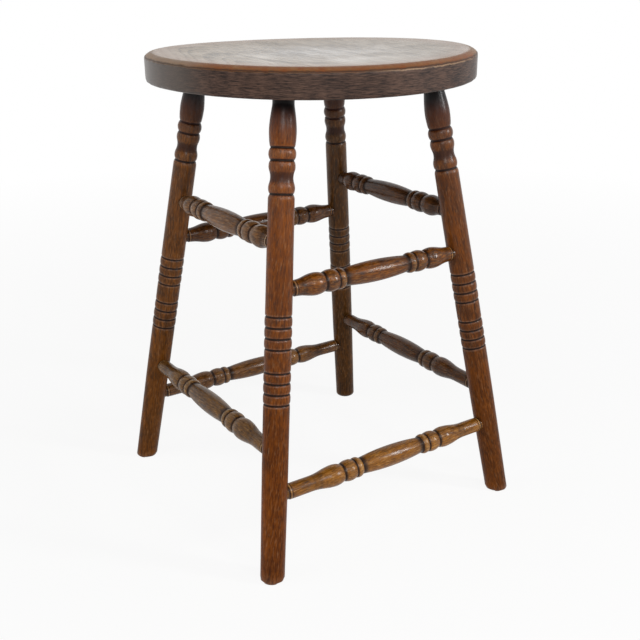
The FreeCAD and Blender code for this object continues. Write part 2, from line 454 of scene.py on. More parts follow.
def turning_tree():
    """Geometry nodes that turn an outline about its axis, wear it and set it in its place."""
    tree = bpy.data.node_groups.new("turned_piece", "GeometryNodeTree")
    for name, kind in TURNING_INPUTS.items():
        tree.interface.new_socket(name=name, in_out="INPUT", socket_type="NodeSocket" + kind)
    tree.interface.new_socket(name="Geometry", in_out="OUTPUT", socket_type="NodeSocketGeometry")
    given = add(tree, "NodeGroupInput").outputs
    placed = result(tree, "GeometryNodeTransform", {
        "Geometry": turned_surface(tree, given), "Translation": given["Place"],
        "Rotation": given["Turn"]})
    whole = merged(tree, sawn_foot(tree, given, placed))
    smooth = result(tree, "GeometryNodeSetShadeSmooth", {"Geometry": whole})
    real = result(tree, "GeometryNodeRealizeInstances", {"Geometry": smooth})
    dressed = result(tree, "GeometryNodeSetMaterial", {
        "Geometry": real, "Material": given["Material"]})
    add(tree, "NodeGroupOutput", {"Geometry": dressed})
    return tree


def turned_surface(tree, given):
    """The turning about its own axis, with what its finish needs to know kept as attributes."""
    position = result(tree, "GeometryNodeInputPosition")
    apart = split(tree, position)

    def blurred(value, passes, kind="FLOAT", weight=1.0):
        inputs = {"Value": value, "Iterations": passes, "Weight": weight}
        return result(tree, "GeometryNodeBlurAttribute", inputs, data_type=kind)

    def sampled(value, kind="FLOAT"):
        inputs = {"Geometry": profile, "Value": value, "Index": index}
        return result(tree, "GeometryNodeSampleIndex", inputs, data_type=kind)

    def stored(geometry, name, value, kind="FLOAT", domain="CORNER"):
        inputs = {"Geometry": geometry, "Name": name, "Value": value}
        return result(tree, "GeometryNodeStoreNamedAttribute", inputs, data_type=kind,
                      domain=domain)

    # The outline lies in the XZ plane, with its radius along X. Wear softens its lips
    off_axis = maths(tree, "GREATER_THAN", apart["X"], FINE_STEP)
    softened = blurred(position, given["Wear passes"], "FLOAT_VECTOR", off_axis)
    profile = moved(tree, given["Geometry"], Position=softened)
    hollow = maths(tree, "SUBTRACT", blurred(apart["X"], given["Relief passes"]), apart["X"])
    drawn_in = maths(tree, "SUBTRACT", blurred(apart["X"], given["Form passes"]), apart["X"])

    # A grid becomes the turning: its first side runs round the axis, its second along the outline
    size = add(tree, "GeometryNodeAttributeDomainSize", {"Geometry": profile})
    count = size.outputs["Point Count"]
    around = maths(tree, "ADD", given["Spokes"], 1.0)
    grid = result(tree, "GeometryNodeMeshGrid", {
        "Size X": 1.0, "Size Y": 1.0, "Vertices X": around, "Vertices Y": count})
    last = maths(tree, "SUBTRACT", count, 1.0)
    index = maths(tree, "ROUND", multiplied(tree, maths(tree, "ADD", apart["Y"], 0.5), last))
    place = split(tree, sampled(position, "FLOAT_VECTOR"))
    relief = sampled(hollow)
    form = sampled(drawn_in)
    turn = multiplied(tree, maths(tree, "ADD", apart["X"], 0.5), math.tau)
    cosine = maths(tree, "COSINE", turn)
    sine = maths(tree, "SINE", turn)

    # Slight unevenness of the hand-held chisel, the same at both ends of the seam
    waves = multiplied(tree, place["Z"], STRAY_ALONG)
    stray = noise(tree, combined(tree, cosine, sine, waves), STRAY_AROUND, 2.0, seed=given["Seed"])
    uneven = multiplied(tree, maths(tree, "SUBTRACT", stray, 0.5), given["Out of round"])
    guard = maths(tree, "DIVIDE", place["X"], 8 * FINE_STEP, clamp=True)
    radius = maths(tree, "ADD", place["X"], multiplied(tree, uneven, guard))

    # Knocks in the lips and edges that stand proud
    round_spot = vector_maths(tree, "SCALE", combined(tree, cosine, sine), radius)
    round_spot = vector_maths(tree, "ADD", round_spot, combined(tree, z=place["Z"]))
    knocks = remap(tree, noise(tree, round_spot, KNOCK_SIZE, 3.0, seed=given["Seed"]), 0.42, 0.72)
    proud = remap(tree, relief, -0.04 * MM, -0.3 * MM)
    bite = multiplied(tree, knocks, proud, given["Edge wear"])
    radius = maths(tree, "SUBTRACT", radius, bite)
    turned = combined(tree, multiplied(tree, radius, cosine), multiplied(tree, radius, sine),
                      place["Z"])
    kept = stored(grid, "point_relief", relief, domain="POINT")
    kept = stored(kept, "point_form", form, domain="POINT")
    marked = merged(tree, moved(tree, kept, Position=turned))

    # What the finish needs to know: the place in the blank of wood and on the piece, and the cuts
    in_blank = vector_maths(tree, "ADD", position, given["Blank offset"])
    marked = stored(marked, "blank", in_blank, "FLOAT_VECTOR")
    marked = stored(marked, "spot", position, "FLOAT_VECTOR")
    for name in ("relief", "form"):
        inputs = {"Name": "point_" + name}
        value = result(tree, "GeometryNodeInputNamedAttribute", inputs, data_type="FLOAT")
        marked = stored(marked, name, value)
    return marked


def sawn_foot(tree, given, placed):
    """A placed leg, sawn off level with the floor and eased round its sole."""
    position = result(tree, "GeometryNodeInputPosition")
    height = split(tree, position)["Z"]
    up = split(tree, given["Up"])["Z"]
    arris = given["Foot arris"]
    is_leg = maths(tree, "GREATER_THAN", arris, 0.0)
    rise = maths(tree, "DIVIDE", maths(tree, "MINIMUM", height, 0.0), up)
    sawn = vector_maths(tree, "SUBTRACT", position, vector_maths(tree, "SCALE", given["Up"], rise))
    level = moved(tree, placed, Selection=is_leg, Position=sawn)

    # Round the sole, points are drawn in towards the leg's axis by a quarter round
    along = vector_maths(tree, "SCALE", given["Up"], maths(tree, "DIVIDE", height, up))
    axis_spot = vector_maths(tree, "ADD", given["Foot spot"], along)
    arm = vector_maths(tree, "SUBTRACT", position, axis_spot)
    below = maths(tree, "MAXIMUM", maths(tree, "SUBTRACT", arris, height), 0.0)
    left = maths(tree, "SUBTRACT", multiplied(tree, arris, arris), multiplied(tree, below, below))
    inset = maths(tree, "SUBTRACT", arris, maths(tree, "SQRT", left))
    reach = maths(tree, "MAXIMUM", vector_maths(tree, "LENGTH", arm), FINE_STEP)
    pull = multiplied(tree, maths(tree, "DIVIDE", inset, reach, clamp=True), -1.0)
    return moved(tree, level, Selection=is_leg, Offset=vector_maths(tree, "SCALE", arm, pull))


def link(piece):
    """Puts an object in the scene."""
    bpy.context.scene.collection.objects.link(piece)
    return piece


def baked(source, name):
    """A plain object with the evaluated mesh of source, which is then removed."""
    graph = bpy.context.evaluated_depsgraph_get()
    mesh = bpy.data.meshes.new_from_object(
        source.evaluated_get(graph), preserve_all_data_layers=True, depsgraph=graph)
    bpy.data.objects.remove(source)
    mesh.name = name
    return link(bpy.data.objects.new(name, mesh))


def turn_piece(name, outline, material, inputs):
    """A turned piece from its outline of (along, radius) points."""
    profile = bpy.data.meshes.new(name + "_outline")
    edges = [(start, start + 1) for start in range(len(outline) - 1)]
    profile.from_pydata([(radius, 0, along) for along, radius in outline], edges, [])
    source = link(bpy.data.objects.new(name + "_outline", profile))
    modifier = source.modifiers.new("turning", "NODES")
    modifier.node_group = bpy.data.node_groups.get("turned_piece") or turning_tree()
    fits = bpy.context.scene.stool_fit
    values = {
        "Spokes": fits.spokes, "Wear passes": fits.wear_passes, "Out of round": fits.out_of_round,
        "Edge wear": fits.lip_wear, "Relief passes": RELIEF_PASSES, "Form passes": FORM_PASSES,
        "Up": (0, 0, 1), "Material": material, **inputs}
    for socket in modifier.node_group.interface.items_tree:
        if socket.in_out == "INPUT" and socket.name in values:
            modifier[socket.identifier] = values[socket.name]
    piece = baked(source, name)
    bpy.data.meshes.remove(profile)
    return piece


def point_outwards(piece):
    """Recalculates the normals of a closed mesh, and keeps its real edges sharp."""
    shape = bmesh.new()
    shape.from_mesh(piece.data)
    bmesh.ops.recalc_face_normals(shape, faces=shape.faces)
    shape.to_mesh(piece.data)
    shape.free()
    piece.data.set_sharp_from_angle(angle=SHARP_ANGLE)


def turn_to(direction):
    """Turn that lays the Z axis along a direction."""
    return Vector((0, 0, 1)).rotation_difference(direction)


def bore(piece, bores):
    """Bores round holes into a piece. Each bore is (start, direction, radius, depth)."""
    cutter_shape = bmesh.new()
    for start, direction, radius, depth in bores:
        turn = turn_to(direction).to_matrix().to_4x4()
        place = Matrix.Translation(start + direction * depth / 2) @ turn
        bmesh.ops.create_cone(cutter_shape, cap_ends=True, segments=BORE_FACETS, radius1=radius,
                              radius2=radius, depth=depth, matrix=place)
    cutter_mesh = bpy.data.meshes.new(piece.name + "_cutter")
    cutter_shape.to_mesh(cutter_mesh)
    cutter_shape.free()
    cutter_mesh.materials.append(piece.data.materials[0])
    cutter = link(bpy.data.objects.new(piece.name + "_cutter", cutter_mesh))
    modifier = piece.modifiers.new("bores", "BOOLEAN")
    modifier.operation = "DIFFERENCE"
    modifier.solver = "EXACT"
    modifier.object = cutter
    bored = baked(piece, piece.name)
    bpy.data.objects.remove(cutter)
    bpy.data.meshes.remove(cutter_mesh)
    return bored


def hand_over(piece, node):
    """Lets a finished piece stand for its CAD node."""
    point_outwards(piece)
    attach(piece, "root")
    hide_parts(node)


# Where the frame puts the legs and stretchers


def stretcher_line(node):
    """Middle, unit direction and half length of a stretcher, from its box."""
    low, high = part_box(node)
    middle = (low + high) / 2
    reach = high - low
    direction = Vector((1, 0, 0)) if reach.x > reach.y else Vector((0, 1, 0))
    return middle, direction, reach.dot(direction) / 2


def foot_spots():
    """Where the axis of each leg meets the floor, by node name."""
    spots = {}
    for mount in frame["record"]["mounts"]:
        spots["leg_" + mount["name"].removeprefix("foot_")] = Vector(mount["pos_m"])
    return spots


def leg_lean():
    """How far a leg leans towards each middle plane for each unit of height."""
    middle, _, _ = stretcher_line("upper_stretcher_right")
    return (foot_spots()["leg_front_right"].x - middle.x) / middle.z


def leg_up(foot):
    """Unit vector up the axis of the leg that stands on foot."""
    lean = leg_lean()
    up = Vector((-math.copysign(lean, foot.x), -math.copysign(lean, foot.y), 1))
    return up.normalized()


# Finishes

# Each pattern's share of its width to its length, its width in millimetres and its detail
PATTERNS = {
    "streak": (0.03, 2.2, 3.0),
    "fleck": (0.16, 1.9, 2.0),
    "pore": (0.1, 1.1, 1.0),
    "patch": (0.4, 5.0, 4.0),
    "cloud": (0.6, 38.0, 3.0),
}
PATTERN_ROUGHNESS = 0.62
# How often the grain sways in a metre, and how far
SWAY_SCALE = 22.0
SWAY = 9 * MM
# How often fat and lean years change, and how much they differ
SEASON_SCALE = 0.35
SEASON_STRENGTH = 2.2
# How dark a growth ring is at the start and end of its year, and at shares of the year
RING_ENDS = (0.0, 0.05)
RING_RAMP = [(0.55, 0.3), (0.86, 1.0), (0.95, 0.75)]
# The turned blanks' growth rings: their spacing, where their tree's heart lies beside the blank and
# its slope, and how coarse the patterns are
BEECH = (3.1 * MM, (0.047, 0.021, 0.0), 0.05, 1.0)
# How far the heart of the board's tree lies to one side of its middle, its slope, and how coarse
# the patterns are
ELM_PITH_ASIDE = -0.135
ELM_SLOPE = 0.09
ELM_COARSENESS = 1.8
# Refraction of the wood, the varnish and the wax
WOOD_IOR = 1.5
# Dark pores of the turned wood
PORE_TONE = "#1a100a"
# Brown and nearly black painted shade at the top of a leg, under the seat
SEAT_SHADE_TONE = "#3a1c14"
BLACK_TONE = "#0c0a0c"
# Distances below the seat between which dirt sets in and ends on a leg's bands of cuts, and
# between which the varnish is worn away
BANDS_BEGIN = (262 * MM, 284 * MM)
BANDS_END = (390 * MM, 425 * MM)
VARNISH_ENDS = (150 * MM, 460 * MM)
# Dark line of old polish on the seat
OLD_POLISH = "#24140d"
# Where sitting has polished the seat most, and distances between which the polish thins
POLISHED_SPOT = (20 * MM, -60 * MM, 0.0)
POLISH_ENDS = (60 * MM, 230 * MM)
# Widths of the dry fibres and of the blotches on the side of the seat, and how many times longer
# than high the fibres are
FIBRE_WIDTH = 13 * MM
FIBRE_STRETCH = 14.0
BLOTCH_WIDTH = 26 * MM
# Side of the seat on which a painted highlight shows as a pale line under the foot of the bevel
PAINTED_GLINT_TURN = math.radians(281)

# Finishes: colour of the cuts, stain and dirt with painted shade, and how strongly it fills them,
# colour of the painted shade in the hollows, relief at which a lip begins to be rubbed pale with a
# painted highlight and is rubbed through, strength of the dark flecks, share of varnish near the
# seat, near the floor and on swellings, and how hazy the varnish is
LEG_FINISH = {
    "cut_tone": "#1a120e", "cut_strength": 0.92, "hollow": "#38190e",
    "lip_relief": (-0.05 * MM, -0.17 * MM), "flecked": 0.25,
    "varnish": 0.46, "worn_varnish": 0.07, "handled": 0.9, "haze": 0.3,
}
STRETCHER_FINISH = {
    "cut_tone": "#22130a", "cut_strength": 0.85, "hollow": "#2b1709",
    "lip_relief": (-0.1 * MM, -0.28 * MM), "flecked": 0.5,
    "varnish": 0.58, "worn_varnish": 0.58, "handled": 0.58, "haze": 0.2,
}
# Colour of a leg's rubbed lips, pale with wear and a painted highlight, and how much they are
# rubbed
LEG_LIP_WEAR_AND_HIGHLIGHT = "#a07c5c"
LEG_RUB = 0.35
# Each leg's pale and dark wood, and how far in millimetres its top is painted black with shade
# under the seat
LEGS = {
    "leg_front_left": ("#82440d", "#4a2206", 21.0),
    "leg_front_right": ("#78400f", "#3f1f07", 29.0),
    "leg_back_left": ("#754312", "#3c2209", 31.0),
    # The back right leg's darker wood is partly its own and partly painted shade from the seat and
    # legs
    "leg_back_right": ("#5e3810", "#301d07", 34.0),
}
# Each stretcher's pale and dark wood, its lips, pale with wear and a painted highlight, how much
# they are rubbed, and how far in millimetres the turner set its pattern off the middle
STRETCHERS = {
    "upper_stretcher_front": ("#82490f", "#361b07", "#b08c5c", 0.8, 0.0),
    "upper_stretcher_back": ("#6c3d10", "#331a08", "#a07848", 0.7, 0.0),
    "upper_stretcher_left": ("#7a5028", "#3a2210", "#c0a688", 0.9, 0.0),
    "upper_stretcher_right": ("#583212", "#281507", "#8a6848", 0.6, 0.0),
    "lower_stretcher_front": ("#a2681e", "#5a340e", "#d4ac74", 0.9, 3.5),
    "lower_stretcher_back": ("#80501c", "#3c2209", "#c09c70", 0.8, 0.0),
    "lower_stretcher_left": ("#795222", "#38220f", "#b8996f", 0.9, 0.0),
    "lower_stretcher_right": ("#5e3612", "#2d1808", "#a98a60", 0.7, 6.0),
}


def new_material(name):
    """An empty material and its node tree."""
    material = bpy.data.materials.new(name)
    material.use_nodes = True
    material.node_tree.nodes.clear()
    return material, material.node_tree


def wood_grain(tree, coords, pitch, pith, slope, coarse):
    """Growth rings and other patterns of a blank whose grain runs along Z.

    The blank's heart lies along pith, tilted by slope, so the rings run out in long pointed
    arches. All patterns are widened by coarse.
    """
    tilted = result(tree, "ShaderNodeMapping", {
        "Vector": coords, "Rotation": (slope, slope / 2, 0.0)})
    bend = vector_maths(tree, "MULTIPLY", coords, (1.0, 1.0, 0.3))
    sway = add(tree, "ShaderNodeTexNoise", {"Vector": bend, "Scale": SWAY_SCALE / coarse,
                                            "Detail": 2.0})
    sway = vector_maths(tree, "SUBTRACT", sway.outputs["Color"], (0.5, 0.5, 0.5))
    swayed = vector_maths(tree, "ADD", tilted, vector_maths(tree, "SCALE", sway, SWAY * coarse))
    from_pith = level_part(tree, vector_maths(tree, "SUBTRACT", swayed, pith))
    years = maths(tree, "DIVIDE", vector_maths(tree, "LENGTH", from_pith), pitch)
    seasons = result(tree, "ShaderNodeTexNoise", {"W": years, "Scale": SEASON_SCALE, "Detail": 1.0},
                     noise_dimensions="1D")
    uneven = maths(tree, "MULTIPLY_ADD", seasons, SEASON_STRENGTH, years)
    ring = add(tree, "ShaderNodeValToRGB", {"Fac": maths(tree, "FRACT", uneven)})
    ramp = ring.color_ramp.elements
    for place, value in enumerate(RING_ENDS):
        ramp[place].color = (value, value, value, 1)
    for spot, value in RING_RAMP:
        ramp.new(spot).color = (value, value, value, 1)
    patterns = {"ring": ring.outputs["Color"]}
    for name, (squeeze, width, detail) in PATTERNS.items():
        drawn = vector_maths(tree, "MULTIPLY", swayed, (1.0, 1.0, squeeze))
        patterns[name] = noise(tree, drawn, width * MM * coarse, detail, PATTERN_ROUGHNESS)
    patterns["pore"] = remap(tree, patterns["pore"], 0.57, 0.68)
    return patterns


def tone_of(value):
    """A hex value or setting as a colour with its alpha, or the socket that gives a colour."""
    if isinstance(value, bpy.types.NodeSocket):
        return value
    return (*(linear(value) if isinstance(value, str) else value), 1)


def mixed(tree, cover, first, second):
    """Colour between two colours."""
    inputs = {0: cover, MIX_A: tone_of(first), MIX_B: tone_of(second)}
    return add(tree, "ShaderNodeMix", inputs, data_type="RGBA").outputs[MIX_OUT]


def painted(tree, body, *layers):
    """A colour under layers, each given as its cover and its colour."""
    for cover, tone in layers:
        body = mixed(tree, cover, body, tone)
    return body


def weigh(tree, shares):
    """Sum of patterns about their middle values, each times its weight, about one half."""
    total = 0.5 - sum(weight / 2 for _, weight in shares)
    for pattern, weight in shares:
        total = maths(tree, "MULTIPLY_ADD", pattern, weight, total)
    return total


def bumped(tree, height, strength, distance, **inputs):
    """Normal of a surface that a pattern roughens."""
    return result(tree, "ShaderNodeBump", {
        "Height": height, "Strength": strength, "Distance": distance, **inputs})


def varnished(tree, inputs):
    """Gives a material its surface: wood under a coat of varnish or wax."""
    inputs = {"IOR": WOOD_IOR, "Coat IOR": WOOD_IOR, **inputs}
    surface = result(tree, "ShaderNodeBsdfPrincipled", inputs)
    add(tree, "ShaderNodeOutputMaterial", {"Surface": surface})


def turned_wood(name, tones, lip, wear, seat_shade=0.0, *, cut_tone, cut_strength, hollow, lip_relief,
                flecked, varnish, worn_varnish, handled, haze):
    """Stained and varnished beech, turned.

    Close-grained wood with short dark flecks along the blank and a patchy stain, more orange where
    it is thin. Stain, dirt and painted shade darken the cuts, and painted shade darkens the
    hollows.
    Hands and feet have rubbed the lips and swellings pale, and the pale also holds a painted
    highlight. Old varnish gives soft highlights, and is worn thin towards the feet.
    """
    pale, dark = tones
    material, tree = new_material(name)
    relief = attribute(tree, "relief")
    form = attribute(tree, "form")
    drop = split(tree, attribute(tree, "spot", "Vector"))["Z"]
    blank = attribute(tree, "blank", "Vector")
    grain = wood_grain(tree, blank, *BEECH)
    figure = weigh(tree, [(grain["patch"], -1.6), (grain["ring"], 0.35), (grain["cloud"], -1.2),
                          (grain["fleck"], -0.7)])
    body = mixed(tree, figure, pale, dark)
    body = vector_maths(tree, "SCALE", body, remap(tree, grain["streak"], 0.3, 0.7, 0.9, 1.08))
    body = painted(tree, body,
                   (remap(tree, grain["pore"], 0.0, 1.0, 0.0, 0.6), PORE_TONE),
                   (remap(tree, grain["fleck"], 0.55, 0.75, 0.0, 0.3), lip),
                   (remap(tree, grain["fleck"], 0.46, 0.3, 0.0, flecked), dark))

    # Painted shade darkens the hollows, and swellings are paled by rubbing and a painted highlight.
    # Then stain, dirt and painted shade darken the cuts, and the lips are paled by rubbing and a
    # painted highlight
    painted_hollow_shade = remap(tree, form, 0.0, 0.34 * MM, 0.0, 0.82)
    broken = remap(tree, grain["patch"], 0.38, 0.62, 0.15, 1.0)
    # Swellings are paled by rubbing and by a painted highlight on their crowns
    swelling = multiplied(tree, remap(tree, form, -0.15 * MM, -0.9 * MM, 0.0, 0.55 * wear), broken)
    cut_stain_and_shade = remap(tree, relief, -0.02 * MM, 0.12 * MM, 0.0, cut_strength)
    # Lips are paled by rubbing and by a painted highlight
    rubbed = multiplied(tree, remap(tree, relief, *lip_relief, 0.0, wear), broken)
    body = painted(tree, body, (painted_hollow_shade, hollow), (swelling, lip), (cut_stain_and_shade, cut_tone),
                   (rubbed, lip))
    if seat_shade:
        # Dirt has dulled the bands of cuts, and painted shade makes the top of the leg nearly black
        # under the seat
        banded = multiplied(tree, remap(tree, drop, *BANDS_BEGIN),
                            remap(tree, drop, *BANDS_END, 1.0, 0.0),
                            remap(tree, grain["patch"], 0.38, 0.62, 0.3, 0.08))
        ragged = maths(tree, "MULTIPLY_ADD", grain["cloud"], 9 * MM, drop)
        painted_seat_shade = remap(tree, ragged, 1.2 * seat_shade, 3.6 * seat_shade, 0.85, 0.0, "SMOOTHSTEP")
        black = remap(tree, ragged, 0.95 * seat_shade, 1.8 * seat_shade, 0.97, 0.0, "SMOOTHSTEP")
        body = painted(tree, body, (banded, cut_tone), (painted_seat_shade, SEAT_SHADE_TONE), (black, BLACK_TONE))

    # Varnish thins towards the floor and in the cuts, and has lasted on swellings and lips
    coat = maths(tree, "MAXIMUM", remap(tree, drop, *VARNISH_ENDS, varnish, worn_varnish),
                 remap(tree, form, -0.2 * MM, -0.9 * MM, 0.0, handled))
    coat = multiplied(tree, coat, remap(tree, grain["patch"], 0.3, 0.65, 1.0, 0.55),
                      remap(tree, cut_stain_and_shade, 0.0, 1.0, 1.0, 0.3))
    coat = maths(tree, "MAXIMUM", coat, remap(tree, relief, -0.03 * MM, -0.12 * MM, 0.0, 0.55))
    gloss = remap(tree, grain["patch"], 0.35, 0.65, 0.3, 0.42)
    dull = maths(tree, "MULTIPLY_ADD", cut_stain_and_shade, 0.1, gloss)
    height = weigh(tree, [(grain["fleck"], 0.8), (grain["pore"], -0.5), (grain["streak"], 0.4)])
    bump = bumped(tree, height, 0.3, 0.3 * MM)
    lumps = bumped(tree, grain["patch"], 0.3, 0.6 * MM, Normal=bump)
    varnished(tree, {
        "Base Color": body, "Roughness": dull, "Normal": lumps, "Specular IOR Level": 0.06,
        "Coat Weight": coat, "Coat Roughness": haze, "Coat Normal": bump})
    return material


def seat_wood(settings, radius, top):
    """Stained elm board, waxed and worn.

    A wide board sawn through the side of the heart, so its rings show as long pointed arches.
    Sitting has polished the middle to a thin glossy skin that thins towards the rim, the side is
    dull, dark and finely streaked, and the bevel between them is rubbed to the orange wood.
    """
    def inward(share_of_bevel):
        return radius - share_of_bevel * settings.bevel_width

    material, tree = new_material("waxed_elm_seat")
    here = attribute(tree, "spot", "Vector")
    plan = level_part(tree, here)
    reach = vector_maths(tree, "LENGTH", plan)
    # The board's grain is turned off the Y axis, and the pattern of a blank runs along Z
    coords = result(tree, "ShaderNodeMapping", {
        "Vector": here, "Rotation": (math.radians(90), settings.grain_turn, 0)})
    pith = (ELM_PITH_ASIDE, settings.heart_drop - top, 0.0)
    grain = wood_grain(tree, coords, settings.ring_pitch, pith, ELM_SLOPE, ELM_COARSENESS)
    figure = weigh(tree, [(grain["ring"], 0.6), (grain["streak"], -1.6), (grain["cloud"], -1.4),
                          (grain["patch"], -0.6)])
    board = mixed(tree, figure, settings.board_pale, settings.board_dark)

    # Where the side shows end grain, and the fine dry fibres there in short level dashes
    along = (-math.sin(settings.grain_turn), math.cos(settings.grain_turn), 0.0)
    facing = vector_maths(tree, "DOT_PRODUCT", vector_maths(tree, "NORMALIZE", plan), along)
    end_grain = remap(tree, maths(tree, "ABSOLUTE", facing), 0.4, 0.68, curve="SMOOTHSTEP")
    flat = vector_maths(tree, "MULTIPLY", here, (1.0, 1.0, FIBRE_STRETCH))
    fibres = noise(tree, flat, FIBRE_WIDTH, 5.0, 0.72)
    mottle = noise(tree, here, BLOTCH_WIDTH, 3.0)
    side = weigh(tree, [(remap(tree, fibres, 0.36, 0.66), 1.5), (mottle, 1.3)])
    side = mixed(tree, side, settings.side_dark, settings.side_pale)
    # Long grain on the side is greyer: partly smoother wood, partly a painted sheen at the board's
    # ends
    side = mixed(tree, end_grain, mixed(tree, 0.75, side, settings.smooth_side_and_sheen), side)

    # The top and bevel lie over the side with a ragged boundary, tanned near the rim
    ragged = maths(tree, "MULTIPLY_ADD", grain["patch"], 4.0 * MM, split(tree, here)["Z"])
    foot = top - settings.bevel_height + 2 * MM
    above = remap(tree, ragged, foot - 0.5 * MM, foot + 0.5 * MM)
    under = remap(tree, above, 0.0, 1.0, 1.0, 0.0)
    uneven_reach = maths(tree, "MULTIPLY_ADD", grain["cloud"], 34 * MM, reach)
    tanned = remap(tree, uneven_reach, radius - 44 * MM, radius + 2 * MM, 0.0, 0.75, "SMOOTHSTEP")
    body = painted(tree, side, (above, board), (multiplied(tree, tanned, above), settings.tanned))

    # The rubbed bevel, and a painted highlight as a thin pale line on the arris where it meets the
    # top
    band = multiplied(tree, above, remap(tree, reach, inward(1.25), inward(0.9)),
                      remap(tree, grain["patch"], 0.34, 0.62, 0.3, 0.95))
    arris = multiplied(tree, remap(tree, reach, inward(1.12), inward(0.98)),
                       remap(tree, reach, inward(0.96), inward(0.84), 0.8, 0.0),
                       remap(tree, grain["patch"], 0.4, 0.55, 1.0, 0.2))
    # The bevel is greyer on the long grain: partly less rubbed wood, partly a painted sheen
    rubbed = mixed(tree, end_grain, settings.faded_bevel_and_sheen, settings.rubbed)
    body = painted(tree, body, (band, rubbed), (arris, settings.painted_glint))

    # A dark line of old polish along the foot of the bevel, and below it here and there a painted
    # highlight as a pale line, on the side that faces the lamps
    line = remap(tree, ragged, foot + 3.0 * MM, foot + 1.2 * MM, 0.0, 0.85)
    toward = (math.cos(PAINTED_GLINT_TURN), math.sin(PAINTED_GLINT_TURN), 0.0)
    glint_side = vector_maths(tree, "DOT_PRODUCT", plan, toward)
    painted_glint = multiplied(tree, remap(tree, ragged, foot - 1.6 * MM, foot - 0.9 * MM), under,
                      remap(tree, glint_side, 0.9 * radius, 0.97 * radius, 0.0, 0.6),
                      remap(tree, mottle, 0.4, 0.5, 0.3, 1.0))
    body = painted(tree, body, (multiplied(tree, line, above), OLD_POLISH), (painted_glint, settings.painted_glint))

    # Polish on the top, thinner away from where people sit, and a faint sheen on the smooth side
    polished = multiplied(tree, remap(tree, reach, inward(0.75), inward(1.1)), above)
    from_spot = vector_maths(tree, "DISTANCE", plan, POLISHED_SPOT)
    skin = remap(tree, from_spot, *POLISH_ENDS, settings.polish, 0.36 * settings.polish)
    thin = multiplied(tree, remap(tree, figure, 0.1, 0.9, 1.3, 0.62),
                      remap(tree, grain["cloud"], 0.36, 0.64, 0.78, 1.2))
    sheen = multiplied(tree, remap(tree, end_grain, 0.0, 1.0, 0.3, 0.0), under)
    wax = maths(tree, "ADD", multiplied(tree, polished, skin, thin), sheen)
    height = weigh(tree, [(grain["streak"], 0.7), (grain["pore"], -0.6), (fibres, 0.3)])
    varnished(tree, {
        "Base Color": body, "Roughness": remap(tree, polished, 0.0, 1.0, 0.48, 0.34),
        "Normal": bumped(tree, height, 0.25, 0.3 * MM), "Specular IOR Level": 0.22,
        "Coat Weight": wax, "Coat Roughness": 0.11})
    return material


# Pieces


def seat_outline(settings, radius, underside, top):
    """Outline of the seat, from the middle of its underside to the middle of its dish."""
    bevel_end = radius - settings.bevel_width
    dish_edge = bevel_end - settings.rim_width
    bulge = settings.bevel_bulge
    bevel_middle = (top - settings.bevel_height / 2 + bulge,
                    radius - settings.bevel_width / 2 + bulge)
    dish_radius = (dish_edge ** 2 + settings.dish_depth ** 2) / (2 * settings.dish_depth)
    dish_rise = dish_radius - math.sqrt(dish_radius ** 2 - dish_edge ** 2 / 4)
    corner = settings.arris * (1 - math.sqrt(1 / 2))
    return walk((underside, 0), [
        (underside, radius - settings.arris),
        (underside + corner, radius - corner, underside + settings.arris, radius),
        (top - settings.bevel_height, radius),
        (*bevel_middle, top, bevel_end),
        (top, dish_edge),
        (top - settings.dish_depth + dish_rise, dish_edge / 2, top - settings.dish_depth, 0),
    ])


def board_rise(settings, radius, place):
    """How far a board that has cupped across its grain lies off the flat board, never above it."""
    reach = math.hypot(place.x, place.y) / radius
    turn = math.atan2(place.y, place.x)
    cupped = settings.cup * reach ** 2 * math.cos(2 * (turn - settings.grain_turn))
    tilted = settings.tilt * reach * math.cos(turn - settings.tilt_turn)
    return cupped + tilted - HIGHEST_SHARE * (settings.cup + settings.tilt)


class STOOL_OT_seat(bpy.types.Operator):
    """Build the seat board with its dish, worn bevel and leg sockets"""

    bl_idname = "stool.seat"
    bl_label = "Seat"

    def execute(self, context):
        settings = context.scene.stool_seat
        fits = context.scene.stool_fit
        socket_radius = context.scene.stool_leg.tenon_radius + fits.glue_clearance
        low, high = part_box("seat")
        radius = (high.x - low.x) / 2
        outline = seat_outline(settings, radius, high.z - settings.thickness, high.z)
        piece = turn_piece("seat_board", outline, seat_wood(settings, radius, high.z), {
            "Spokes": settings.spokes, "Out of round": 0.0, "Edge wear": settings.edge_wear,
            "Relief passes": SEAT_RELIEF_PASSES, "Seed": SEAT_SEED})
        for vertex in piece.data.vertices:
            vertex.co.z += board_rise(settings, radius, vertex.co)
        bores = []
        for foot in foot_spots().values():
            up = leg_up(foot)
            mouth = foot + up * low.z / up.z
            depth = settings.socket_depth / up.z
            bores.append((mouth - up * depth, up, socket_radius, 2 * depth))
        hand_over(bore(piece, bores), "seat")
        return {"FINISHED"}


